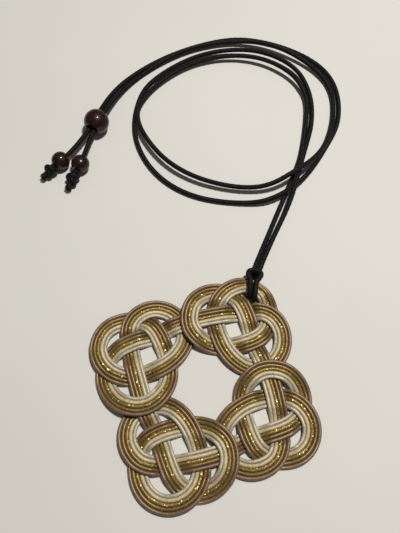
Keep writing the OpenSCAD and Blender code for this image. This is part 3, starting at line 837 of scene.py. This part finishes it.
def make_sky():
    """Weak, even, slightly warm light from all round."""
    world = bpy.data.worlds.new("studio")
    world.use_nodes = True
    background = world.node_tree.nodes["Background"].inputs
    background["Color"].default_value = linear("#f6f1ea")
    background["Strength"].default_value = SKY_STRENGTH
    bpy.context.scene.world = world
    bpy.context.scene.view_settings.view_transform = "Standard"


make_camera()
cotton = waxed_cotton()
wood = lacquered_wood()

# The braid's grooves lie on the plain cord's surface, and its crowns repeat once in each lay
NECK_SIZES = {"Diameter": (NECK_D + 2 * BRAID_RELIEF) * MM, "Sides": 16, "Yarns": BRAID_YARNS,
              "Lay": BRAID_LAY * MM, "Relief": BRAID_RELIEF * MM}
neck_tree = cord_tree("braided_cord", [cotton], NECK_SIZES)
FRAY_SIZES = {"Fibre length": 0.5 * MM, "Fibre diameter": 0.14 * MM, "Fibres a square metre": 3.0e7,
              "Seed": 4}
fray = fray_tree(cotton, FRAY_SIZES)

# The sliding bead, and at each strand's end a bead and the knot that stops it
slide_bead = ridden(bead("slide_bead_turned", SLIDE_BEAD_D, SLIDE_BORE_D, SLIDE_BEAD, wood),
                    "slide_bead")
end_beads, end_knots = {}, {}
for side in ("left", "right"):
    end_bead = bead(f"end_bead_{side}_turned", END_BEAD_D, END_BORE_D, END_BEADS[side], wood)
    end_beads[side] = ridden(end_bead, f"end_bead_{side}")
    start, direction, thick, long = END_KNOTS[side]
    seat = pointed(start, direction)
    across = OVERHAND_TIGHT * thick
    way = open_way(np.array(OVERHAND_WAY) * [across, across, long], STRAND_SPACING)
    # The cut end spreads as its braid comes undone
    from_end = np.arange(len(way))[::-1] * STRAND_SPACING
    girth = KNOT_GIRTH + CUT_GIRTH * (1 - smooth(from_end / CUT_REACH))
    name = f"end_knot_{side}_tied"
    knot = grown(name, line_mesh("overhand", [moved(seat, way)], girth), neck_tree, NECK_SIZES)
    cut_end = seat @ Matrix.Translation(Vector((CUT_END[0] * thick, 0, CUT_END[1] * long)))
    fibres = grown("fibres", disc("cut_end", CUT_RADIUS, cut_end), fray, FRAY_SIZES)
    end_knots[side] = ridden(joined(name, [knot, fibres]), f"end_knot_{side}")

# The hitch, and the neck cord's two strands with the pieces on them
hitch_line = line_mesh("hitch", [drawn(hitch_points(STRAND_SPACING))])
hitch = ridden(grown("hitch_tied", hitch_line, neck_tree, NECK_SIZES), "hitch")
STRANDS = {"inner": (INNER_WAY, [hitch, end_beads["right"], end_knots["right"]]),
           "outer": (OUTER_WAY, [slide_bead, end_beads["left"], end_knots["left"]])}
for name, (way, on_it) in STRANDS.items():
    points = drawn(open_way(way, STRAND_SPACING))
    strand = grown(f"neck_strand_{name}_braided", line_mesh("strand", [points]), neck_tree, NECK_SIZES)
    ridden(strand, f"neck_strand_{name}")

# The band of five cords through each of the four knots, from the inside of the ring's arcs to the outside
BAND = [
    wound_cord("silver_film_wound_paper", "#89816f", "#d8ccb3",
               thread_mm=0.28, metallic=0.3, roughness=0.5, bump=0.5),
    wound_cord("cream_pearl_wound_paper", "#998869", "#dfcda6",
               thread_mm=0.28, metallic=0.1, roughness=0.45, bump=0.5),
    wound_cord("gold_film_wound_paper", "#5c491c", "#a08546",
               thread_mm=0.3, metallic=0.42, roughness=0.43, bump=0.5),
    wound_cord("bronze_film_wound_paper", "#4c351c", "#9b7e4c",
               thread_mm=0.3, metallic=0.42, roughness=0.41, bump=0.45),
    wound_cord("rose_brown_silk_wound_paper", "#4b3826", "#9a7f60",
               thread_mm=0.28, metallic=0.3, roughness=0.41, bump=0.45),
]
# Wound cords are smooth, so they have no relief
BAND_SIZES = {"Diameter": MIZUHIKI_D * MM, "Sides": 14, "Yarns": 1, "Lay": 1.0 * MM, "Relief": 0.0,
              "Flakes a square metre": 8.5e6, "Flake radius": 0.14 * MM, "Seed": 5}
band_tree = cord_tree("mizuhiki_band", BAND, BAND_SIZES, GLITTER_CORD, glitter_flake())
for k, corner in enumerate(KNOT_NAMES):
    ways = [drawn(cord_way(k, cord)) for cord in range(MIZUHIKI_COUNT)]
    sizes = {**BAND_SIZES, "Seed": BAND_SIZES["Seed"] + k}
    knot = grown(f"awaji_knot_{corner}", line_mesh("band", ways), band_tree, sizes)
    ridden(knot, f"knot_{corner}")

make_floor()
make_lamp()
make_sky()
